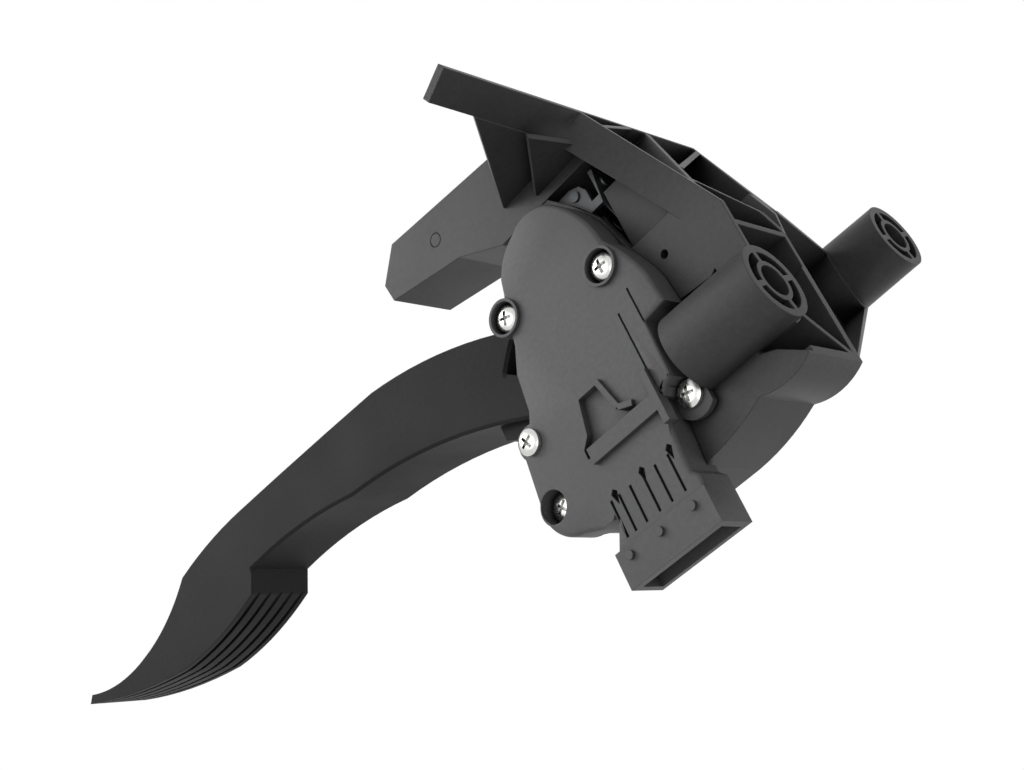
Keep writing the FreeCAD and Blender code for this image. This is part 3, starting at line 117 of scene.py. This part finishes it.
ROOM_LIGHT = 0.14  # of the white that the eye sees, so that the walls only fill the shadows
world = bpy.data.worlds.new("studio")
world.use_nodes = True
bpy.context.scene.world = world
room = world.node_tree
room.nodes.clear()
level = add(room, "ShaderNodeMapRange", {"Value": seen_share(room).outputs[0]},
            To_Min=ROOM_LIGHT, To_Max=1.0)
glow = add(room, "ShaderNodeBackground", {"Strength": level.outputs[0]}, Color=srgb("FFFFFF"))
add(room, "ShaderNodeOutputWorld", {"Surface": glow.outputs[0]})

FLOOR_BELOW = 0.55  # metres under the tread
FLOOR_HALF = 6.0
PAPER_GLOW = 0.97  # share of the paper's look that is plain white, with the rest left to take the shadow
PAPER_LEVEL = 1.03
floor_height = cad_box[0][2] - FLOOR_BELOW
floor_mesh = bpy.data.meshes.new("floor")
floor_mesh.from_pydata(
    [(x * FLOOR_HALF, y * FLOOR_HALF, floor_height) for x, y in ((-1, -1), (1, -1), (1, 1), (-1, 1))],
    [], [(0, 1, 2, 3)])
floor = bpy.data.objects.new("floor", floor_mesh)
bpy.context.scene.collection.objects.link(floor)
paper = bpy.data.materials.new("white_paper")
paper.use_nodes = True
paper.node_tree.nodes.clear()
matt = add(paper.node_tree, "ShaderNodeBsdfDiffuse", Color=srgb("F4F4F4"))
bright = add(paper.node_tree, "ShaderNodeEmission", Color=srgb("FFFFFF"), Strength=PAPER_LEVEL)
share = add(paper.node_tree, "ShaderNodeMath", {0: seen_share(paper.node_tree).outputs[0], 1: PAPER_GLOW},
            operation="MULTIPLY")
mixed = add(paper.node_tree, "ShaderNodeMixShader", {
    0: share.outputs[0], 1: matt.outputs[0], 2: bright.outputs[0]})
add(paper.node_tree, "ShaderNodeOutputMaterial", {"Surface": mixed.outputs[0]})
floor.data.materials.append(paper)

# Each lamp looks at the middle of the pedal: its side of it, its distance and width in metres, and its watts.
MIDDLE = Vector((0.02, 0.03, -0.12))
LAMPS = (
    ("key", (-0.48, 0.60, -0.62), 1.0, 0.6, 4.6),
    ("left", (-0.95, 0.20, -0.20), 1.1, 0.9, 2.6),
    ("camera_side", (-0.75, -0.40, 0.50), 1.2, 0.9, 2.8),
    ("far_side", (0.85, -0.30, 0.45), 1.3, 1.0, 3.0),
)
for name, towards, distance, size, power in LAMPS:
    lamp = bpy.data.objects.new(name, bpy.data.lights.new(name, "AREA"))
    lamp.data.shape = "DISK"
    lamp.data.size = size
    lamp.data.energy = power
    lamp.location = MIDDLE + Vector(towards).normalized() * distance
    lamp.rotation_euler = (MIDDLE - lamp.location).to_track_quat("-Z", "Y").to_euler()
    bpy.context.scene.collection.objects.link(lamp)

# The bracket is one moulding of black nylon filled with short glass fibre: the ribbed flange, the housing,
# the two tubes that take the bolts and the leg. The tool was spark eroded, which leaves an even fine grain,
# and every edge is broken by a small radius so that the tool fills and the part comes away clean. The block
# over the spring plate is of the same nylon, pressed in from the window.
# The real grain is about 0.05 mm and the fibres 0.3 mm. Both are drawn coarser, so that they show at all.
CLOUD_MM = 28  # from one paler drift in the melt to the next
FIBRE_GRAINS = 3.5  # a fibre's streak against one grain


def moulded(name, colour, paler, rough, grain_mm, grain_depth_mm, edge_mm, painted_shade_mm, sheen):
    """A moulded surface: streaks in colour and gloss, grain in the height, soft edges and painted shade in
    nooks.
    """
    material = bpy.data.materials.new(name)
    material.use_nodes = True
    tree = material.node_tree
    tree.nodes.clear()
    spot = add(tree, "ShaderNodeTexCoord")
    cloud = add(tree, "ShaderNodeTexNoise", {"Vector": spot.outputs["Object"]},
                Scale=1000 / CLOUD_MM, Detail=3.0, Roughness=0.5)
    fibre = add(tree, "ShaderNodeTexNoise", {"Vector": spot.outputs["Object"]},
                Scale=1000 / (grain_mm * FIBRE_GRAINS), Detail=4.0, Roughness=0.65)
    share = add(tree, "ShaderNodeMath", {0: cloud.outputs[0], 1: fibre.outputs[0]}, operation="MULTIPLY")
    blend = add(tree, "ShaderNodeMapRange", {"Value": share.outputs[0]},
                From_Min=0.12, From_Max=0.42, To_Min=0.0, To_Max=1.0)
    tint = add(tree, "ShaderNodeMix", data_type="RGBA", inputs={
        "Factor": blend.outputs[0], 6: srgb(colour), 7: srgb(paler)})
    # Painted shade: ambient occlusion darkens the colour towards near-black where the surface lies in a nook
    # or crease.
    nook = add(tree, "ShaderNodeAmbientOcclusion", samples=4, Distance=painted_shade_mm / 1000)
    depth = add(tree, "ShaderNodeMapRange", {"Value": nook.outputs["AO"]},
                From_Min=0.22, From_Max=0.8, To_Min=0.1, To_Max=1.0)
    shade = add(tree, "ShaderNodeMix", data_type="RGBA", inputs={
        "Factor": depth.outputs[0], 6: srgb("0C0C0C"), 7: tint.outputs[2]})
    gloss = add(tree, "ShaderNodeMapRange", {"Value": cloud.outputs[0]},
                From_Min=0.3, From_Max=0.7, To_Min=rough - 0.05, To_Max=rough + 0.06)
    grain = add(tree, "ShaderNodeTexNoise", {"Vector": spot.outputs["Object"]},
                Scale=1000 / grain_mm, Detail=2.0, Roughness=0.55)
    edge = add(tree, "ShaderNodeBevel", samples=6, Radius=edge_mm / 1000)
    relief = add(tree, "ShaderNodeBump", {"Height": grain.outputs[0], "Normal": edge.outputs[0]},
                 Strength=0.7, Distance=grain_depth_mm / 1000)
    shell = add(tree, "ShaderNodeBsdfPrincipled", {
        "Base Color": shade.outputs[2], "Roughness": gloss.outputs[0], "Normal": relief.outputs[0]},
        IOR=1.53, Specular_IOR_Level=sheen)
    add(tree, "ShaderNodeOutputMaterial", {"Surface": shell.outputs[0]})
    return material


def dress(material, *names):
    """Gives a CAD node its finish."""
    for name in names:
        nodes[name].data.materials.clear()
        nodes[name].data.materials.append(material)


# To the eye: a near-black grey, matt on the flats and silky where it turns, with a barely visible mottle.
bracket_nylon = moulded("bracket_glass_filled_nylon", "414142", "4D4D4E", rough=0.46,
                        grain_mm=0.5, grain_depth_mm=0.02, edge_mm=0.4, painted_shade_mm=9.0, sheen=0.22)
dress(bracket_nylon, "bracket", "seat_block")

# The arm and its ribbed pad are one moulding of the same nylon, a little darker, from a smoother tool. A fine
# step runs down the rear edge, where the two halves of the tool met.


def turn(edge):
    """How far a skin turns at an edge."""
    return edge.calc_face_angle(0) if len(edge.link_faces) == 2 else 0


def merged(name):
    """A CAD node as one closed skin, with its doubled points merged."""
    skin = bmesh.new()
    skin.from_mesh(nodes[name].data)
    bmesh.ops.remove_doubles(skin, verts=skin.verts, dist=1e-6)
    skin.normal_update()
    return skin


CREASE = math.radians(32)
LEVEL = math.radians(0.5)
SIDE_ON = 0.999  # a face whose normal is this much along X is one of the flat sides


def finished(skin, name, material, crease=CREASE):
    """Makes a piece of a skin, smooth where it bends, sharp where it turns and true on its flats."""
    skin.normal_update()
    for face in skin.faces:
        side_on = abs(face.normal.x) > SIDE_ON
        face.smooth = not side_on and any(LEVEL < turn(edge) < crease for edge in face.edges)
        face.material_index = 0
    mesh = bpy.data.meshes.new(name)
    skin.to_mesh(mesh)
    skin.free()
    mesh.attributes.remove(mesh.attributes["custom_normal"])
    mesh.materials.clear()
    mesh.materials.append(material)
    mesh.set_sharp_from_angle(angle=crease)
    piece = bpy.data.objects.new(name, mesh)
    bpy.context.scene.collection.objects.link(piece)
    return piece


def settle(piece):
    """Bakes what a piece's modifiers make into its mesh, and takes the modifiers off."""
    made = bpy.data.meshes.new_from_object(piece.evaluated_get(bpy.context.evaluated_depsgraph_get()))
    piece.modifiers.clear()
    piece.data = made


# To the eye: the darkest of the mouldings, smooth and silky, with a soft sheen along the side.
arm_nylon = moulded("pedal_glass_filled_nylon", "202021", "282829", rough=0.58,
                    grain_mm=0.45, grain_depth_mm=0.014, edge_mm=0.4, painted_shade_mm=6.0, sheen=0.12)
ARM_STEP = 0.0008
ARM_CORNER = math.radians(40)
TREAD_TOP = -0.2084  # the step ends at this height
SAME_PLACE = 1e-5  # points nearer than this to a plane are on it
arm_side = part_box("pedal_arm")[0][0]
skin = merged("pedal_arm")
rear_edges = [
    edge for edge in skin.edges
    if turn(edge) >= ARM_CORNER and edge.calc_length() >= 3 * ARM_STEP
    and max(end.co.x for end in edge.verts) - arm_side < SAME_PLACE
    and any(face.normal.y < -0.2 for face in edge.link_faces) and edge.verts[0].co.z > TREAD_TOP]
bmesh.ops.bevel(skin, geom=rear_edges, offset=ARM_STEP, segments=2, profile=0.15, affect="EDGES",
                clamp_overlap=True)
arm = finished(skin, "arm_moulding", arm_nylon)

# Above the tread the rear of the arm draws in towards the far side, so that the tread stands out as a plate.
# What is scooped out is a slim wedge with four corners: up the arm, the tread's front and rear, and its tip.
scoop_mesh = bpy.data.meshes.new("scoop")
scoop_mesh.from_pydata([
    (0.0250, 0.0462, -0.1880),
    (0.0250, 0.0535, -0.2119),
    (0.0250, 0.0441, -0.2066),
    (0.0050, 0.0472, -0.2083),
], [], [(0, 1, 2), (0, 3, 1), (1, 3, 2), (2, 3, 0)])
scoop = bpy.data.objects.new("scoop", scoop_mesh)
bpy.context.scene.collection.objects.link(scoop)
carve = arm.modifiers.new("scoop", "BOOLEAN")
carve.operation = "DIFFERENCE"
carve.solver = "EXACT"
carve.object = scoop
settle(arm)
bpy.data.objects.remove(scoop)
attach(arm, "pedal")
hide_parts("pedal_arm")

# The cover is a lid of paler mineral-filled nylon with the connector shroud moulded on. Its outline is well
# rounded, so that the lid looks soft beside the ribbed bracket.
# To the eye: a mid grey, even and matt, with dark lines where a rib or a slot meets the face, deepened by
# painted shade.
cover_nylon = moulded("cover_mineral_filled_nylon", "5F5F60", "6A6A6B", rough=0.46,
                      grain_mm=0.4, grain_depth_mm=0.012, edge_mm=0.22, painted_shade_mm=4.5, sheen=0.2)
COVER_ROUND = 0.0012
COVER_CORNER = math.radians(50)
COVER_PROUD = 0.0015  # how far the screws' rings stand out of the face
WALL_DOWN = 0.0004  # how far under the face a wall is tested for what stands beside it
CLEAR_WAY = 0.02  # an edge is rounded where this much room is free beside its wall
skin = merged("sensor_cover")
skin_tree = BVHTree.FromBMesh(skin)
face_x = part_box("sensor_cover")[0][0] + COVER_PROUD
outline_edges = []
for edge in skin.edges:
    if turn(edge) < COVER_CORNER or not edge.is_convex:
        continue
    if any(abs(end.co.x - face_x) > 2 * SAME_PLACE for end in edge.verts):
        continue
    walls = [face for face in edge.link_faces if abs(face.normal.x) < 0.2]
    if len(walls) != 1:
        continue
    middle = (edge.verts[0].co + edge.verts[1].co) / 2 + Vector((WALL_DOWN, 0, 0))
    away = walls[0].normal
    if skin_tree.ray_cast(middle + away * 10 * SAME_PLACE, away, CLEAR_WAY)[0] is None:
        outline_edges.append(edge)
bmesh.ops.bevel(skin, geom=outline_edges, offset=COVER_ROUND, segments=3, profile=0.5, affect="EDGES",
                clamp_overlap=False)
cover = finished(skin, "cover_moulding", cover_nylon)
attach(cover, "housing")
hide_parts("sensor_cover")

# Five pan-head screws hold the cover: steel, cold headed, with a punched cross recess, and plated with bright
# zinc. No two stop at the same turn.
BLOTCH_SHADE = 0.82  # the darker blotches' share of the metal's colour


def metal(name, colour, rough, blotch_mm, relief_mm, painted_shade_mm):
    """Bare or plated steel: uneven gloss in blotches, a fine relief, and painted shade that darkens it in a
    nook.
    """
    material = bpy.data.materials.new(name)
    material.use_nodes = True
    tree = material.node_tree
    tree.nodes.clear()
    spot = add(tree, "ShaderNodeTexCoord")
    noise = add(tree, "ShaderNodeTexNoise", {"Vector": spot.outputs["Object"]},
                Scale=1000 / blotch_mm, Detail=3.0)
    gloss = add(tree, "ShaderNodeMapRange", {"Value": noise.outputs[0]},
                To_Min=rough - 0.06, To_Max=rough + 0.1)
    tint = add(tree, "ShaderNodeMix", data_type="RGBA", inputs={
        "Factor": noise.outputs[0], 6: srgb(colour),
        7: [share * BLOTCH_SHADE for share in srgb(colour)[:3]] + [1]})
    # Painted shade: ambient occlusion darkens the colour in nooks, such as a screw's cross recess.
    nook = add(tree, "ShaderNodeAmbientOcclusion", samples=4, Distance=painted_shade_mm / 1000)
    depth = add(tree, "ShaderNodeMapRange", {"Value": nook.outputs["AO"]}, From_Min=0.3, From_Max=0.8)
    shade = add(tree, "ShaderNodeMix", data_type="RGBA", inputs={
        "Factor": depth.outputs[0], 6: srgb("1A1A1A"), 7: tint.outputs[2]})
    relief = add(tree, "ShaderNodeBump", {"Height": noise.outputs[0]},
                 Strength=0.4, Distance=relief_mm / 1000)
    shell = add(tree, "ShaderNodeBsdfPrincipled", {
        "Base Color": shade.outputs[2], "Roughness": gloss.outputs[0], "Normal": relief.outputs[0]},
        Metallic=1.0)
    add(tree, "ShaderNodeOutputMaterial", {"Surface": shell.outputs[0]})
    return material


# To the eye: nearly white, mirror-like where it faces the room, and dark in the cross, whose recess is also
# darkened by painted shade.
zinc = metal("bright_zinc_plate", "DCDCD9", rough=0.24, blotch_mm=1.1, relief_mm=0.01, painted_shade_mm=0.8)
SCREWS = ("cover_screw_a", "cover_screw_b", "cover_screw_c", "cover_screw_d", "cover_screw_e")
HEAD_HEIGHT = 0.0022
DOME_POWER = 3.2  # the crown stays flat over most of the head and falls away near its rim
SHANK_DOWN = 0.0005  # the shank starts this far under the middle of the head, clear of the recess
screw_plan = bpy.data.node_groups.new("pan_head_screws", "GeometryNodeTree")
plan = screw_plan.interface
plan.new_socket("Seats", in_out="INPUT", socket_type="NodeSocketGeometry")
for label, size in (("Head Radius", 0.0036), ("Head Height", HEAD_HEIGHT), ("Head Dome", 0.0009),
                    ("Recess Span", 0.0040), ("Recess Width", 0.0009), ("Recess Depth", 0.0013),
                    ("Shank Radius", 0.00175), ("Shank Length", 0.012)):
    socket = plan.new_socket(label, in_out="INPUT", socket_type="NodeSocketFloat")
    socket.default_value = size
plan.new_socket("Seed", in_out="INPUT", socket_type="NodeSocketInt").default_value = 7
plan.new_socket("Finish", in_out="INPUT", socket_type="NodeSocketMaterial")
plan.new_socket("Screws", in_out="OUTPUT", socket_type="NodeSocketGeometry")
given = add(screw_plan, "NodeGroupInput").outputs
blank = add(screw_plan, "GeometryNodeMeshCylinder", {
    "Radius": given["Head Radius"], "Depth": given["Head Height"]},
    fill_type="TRIANGLE_FAN", Vertices=40, Side_Segments=1, Fill_Segments=6)
place = add(screw_plan, "GeometryNodeInputPosition")
axes = add(screw_plan, "ShaderNodeSeparateXYZ", {0: place.outputs[0]})
flat = add(screw_plan, "ShaderNodeCombineXYZ", {0: axes.outputs[0], 1: axes.outputs[1]})
reach = add(screw_plan, "ShaderNodeVectorMath", {0: flat.outputs[0]}, operation="LENGTH")
part = add(screw_plan, "ShaderNodeMath", {0: reach.outputs["Value"], 1: given["Head Radius"]},
           operation="DIVIDE")
bulge = add(screw_plan, "ShaderNodeMath", {0: part.outputs[0], 1: DOME_POWER}, operation="POWER")
drop = add(screw_plan, "ShaderNodeMath", {0: bulge.outputs[0], 1: given["Head Dome"]}, operation="MULTIPLY")
down = add(screw_plan, "ShaderNodeMath", {0: drop.outputs[0], 1: -1.0}, operation="MULTIPLY")
shift = add(screw_plan, "ShaderNodeCombineXYZ", {2: down.outputs[0]})
upper = add(screw_plan, "FunctionNodeCompare", {0: axes.outputs[2]},
            data_type="FLOAT", operation="GREATER_THAN")
domed = add(screw_plan, "GeometryNodeSetPosition", {
    "Geometry": blank.outputs["Mesh"], "Selection": upper.outputs[0], "Offset": shift.outputs[0]})
half = add(screw_plan, "ShaderNodeMath", {0: given["Head Height"], 1: 0.5}, operation="MULTIPLY")
top = add(screw_plan, "ShaderNodeCombineXYZ", {2: half.outputs[0]})
deep = add(screw_plan, "ShaderNodeMath", {0: given["Recess Depth"], 1: 2.0}, operation="MULTIPLY")
wings = []
for across, along in (("Recess Span", "Recess Width"), ("Recess Width", "Recess Span")):
    size = add(screw_plan, "ShaderNodeCombineXYZ", {
        0: given[across], 1: given[along], 2: deep.outputs[0]})
    bar = add(screw_plan, "GeometryNodeMeshCube", {"Size": size.outputs[0]})
    wings.append(add(screw_plan, "GeometryNodeTransform", {
        "Geometry": bar.outputs["Mesh"], "Translation": top.outputs[0]}))
cross = add(screw_plan, "GeometryNodeMeshBoolean", operation="UNION", solver="EXACT")
for wing in wings:
    screw_plan.links.new(wing.outputs[0], cross.inputs["Mesh 2"])
punched = add(screw_plan, "GeometryNodeMeshBoolean", {0: domed.outputs[0], "Mesh 2": cross.outputs[0]},
              operation="DIFFERENCE", solver="EXACT")
rod = add(screw_plan, "GeometryNodeMeshCylinder", {
    "Radius": given["Shank Radius"], "Depth": given["Shank Length"]}, Vertices=24)
lower = add(screw_plan, "ShaderNodeMath", {0: given["Shank Length"], 1: -0.5, 2: -SHANK_DOWN},
            operation="MULTIPLY_ADD")
under = add(screw_plan, "ShaderNodeCombineXYZ", {2: lower.outputs[0]})
shank = add(screw_plan, "GeometryNodeTransform", {
    "Geometry": rod.outputs["Mesh"], "Translation": under.outputs[0]})
whole = add(screw_plan, "GeometryNodeMeshBoolean", operation="UNION", solver="EXACT")
for side in (punched, shank):
    screw_plan.links.new(side.outputs[0], whole.inputs["Mesh 2"])
spin = add(screw_plan, "FunctionNodeRandomValue", {"Seed": given["Seed"], 3: math.tau}, data_type="FLOAT")
spun = add(screw_plan, "ShaderNodeCombineXYZ", {2: spin.outputs[1]})
placed = add(screw_plan, "GeometryNodeInstanceOnPoints", {
    "Points": given["Seats"], "Instance": whole.outputs[0]}, Rotation=(0, -math.pi / 2, 0))
turned = add(screw_plan, "GeometryNodeRotateInstances", {
    "Instances": placed.outputs[0], "Rotation": spun.outputs[0]})
real = add(screw_plan, "GeometryNodeRealizeInstances", {0: turned.outputs[0]})
plated = add(screw_plan, "GeometryNodeSetMaterial", {
    "Geometry": real.outputs[0], "Material": given["Finish"]})
add(screw_plan, "NodeGroupOutput", {0: plated.outputs[0]})
seats = []
for name in SCREWS:
    low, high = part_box(name)
    seats.append((low[0] + HEAD_HEIGHT / 2, (low[1] + high[1]) / 2, (low[2] + high[2]) / 2))
seat_mesh = bpy.data.meshes.new("screw_seats")
seat_mesh.from_pydata(seats, [], [])
screws = bpy.data.objects.new("cover_screws", seat_mesh)
bpy.context.scene.collection.objects.link(screws)
maker = screws.modifiers.new("screws", "NODES")
maker.node_group = screw_plan
sockets = {item.name: item.identifier for item in plan.items_tree if item.in_out == "INPUT"}
maker[sockets["Finish"]] = zinc
settle(screws)
for face in screws.data.polygons:
    face.use_smooth = True
screws.data.set_sharp_from_angle(angle=math.radians(35))
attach(screws, "housing")
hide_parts(*SCREWS)

# The two return springs stand one inside the other, so that one still lifts the arm if the other breaks. They
# are cold wound from oil-hardened wire and left as they come from the oven.
# To the eye: blue-black wire with a dull gloss along each turn.
spring_wire = metal("oil_hardened_spring_wire", "3C3D40", rough=0.42,
                    blotch_mm=0.9, relief_mm=0.01, painted_shade_mm=2.5)
WIRE_CREASE = math.radians(70)  # wide enough that the six-sided wire of the part shades as round
for name in ("outer_spring", "inner_spring"):
    low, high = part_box(name)
    coil = finished(merged(name), name.replace("spring", "return_coil"), spring_wire, crease=WIRE_CREASE)
    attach(coil, "housing")
    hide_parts(name)
    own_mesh(coil)

# Above the springs sits a bent plate of thin sheet, punched and folded, which takes their push into the
# housing. Its outer corner is folded in under the rim of the window, and two rivets hold it.
# To the eye: a mid grey with a fine tooth, from the phosphate that keeps it from rust.
phosphated = metal("phosphated_steel", "5E5F60", rough=0.52, blotch_mm=1.6, relief_mm=0.02, painted_shade_mm=1.0)
dress(phosphated, "rivet_low", "rivet_high")
PLATE_TUCK = 0.0095  # how far in the corner is folded
skin = merged("seat_plate")
plate_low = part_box("seat_plate")[0]
for point in skin.verts:
    if max(point.co.y - plate_low[1], point.co.x - plate_low[0]) < 10 * SAME_PLACE:
        point.co.x += PLATE_TUCK
plate = finished(skin, "spring_seat_plate", phosphated)
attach(plate, "housing")
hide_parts("seat_plate")

# The arm turns on a ground shaft, pressed into it, whose far end has a snap clip in a groove. Both are bare
# steel, oiled when the pedal is put together.
# To the eye: the palest of the bare metals, with a soft streak of light along the shaft.
ground = metal("ground_steel", "B4B5B6", rough=0.32, blotch_mm=1.4, relief_mm=0.01, painted_shade_mm=1.0)
dress(ground, "pivot_shaft", "shaft_clip")

# The shaft runs in two flanged bushes. They, the cup under the springs, the shoe that drags on the arm and
# the rotor of the sensor are acetal, moulded and left uncoloured, because it slides without grease.
# To the eye: milky white and faintly waxy.
acetal = moulded("natural_acetal", "C4BFB2", "CFCABD", rough=0.4,
                 grain_mm=0.3, grain_depth_mm=0.005, edge_mm=0.3, painted_shade_mm=2.0, sheen=0.4)
dress(acetal, "bush_near", "bush_far", "spring_cup", "friction_shoe", "sensor_rotor")

# A flat ring of rubber seals the cover, and a sleeve of it stops the lever without a knock. Both are moulded
# in nitrile rubber, cut free of their flash.
# To the eye: the deepest black here, with no gloss.
rubber = moulded("nitrile_rubber", "141414", "1B1B1B", rough=0.72,
                 grain_mm=0.4, grain_depth_mm=0.02, edge_mm=0.3, painted_shade_mm=3.0, sheen=0.15)
dress(rubber, "cover_gasket", "idle_bumper")

# The magnet that the sensor reads is a pressed and sintered disc of ferrite, glued on the rotor.
# To the eye: a slate grey, dry and finely pitted.
ferrite = moulded("sintered_ferrite", "2C2D30", "36373A", rough=0.66,
                  grain_mm=0.25, grain_depth_mm=0.02, edge_mm=0.2, painted_shade_mm=2.0, sheen=0.3)
dress(ferrite, "rotor_magnet")

# The sensor's board is glass-epoxy, routed to shape and dipped in green solder mask.
# To the eye: a clear mid green with a lacquer gloss.
board = moulded("solder_mask_on_glass_epoxy", "1F4A2C", "255633", rough=0.35,
                grain_mm=0.3, grain_depth_mm=0.004, edge_mm=0.1, painted_shade_mm=1.5, sheen=0.5)
dress(board, "sensor_board")

# Six terminals stand in the mouth of the connector, stamped from brass strip, dipped in tin and pressed
# through the floor of the shroud.
# To the eye: a warm pale grey with the bright, slightly wavy gloss of tin.
tinned = metal("tinned_brass", "BDBAB2", rough=0.28, blotch_mm=0.8, relief_mm=0.008, painted_shade_mm=0.8)
dress(tinned, *[f"terminal_{number}" for number in range(1, 7)])
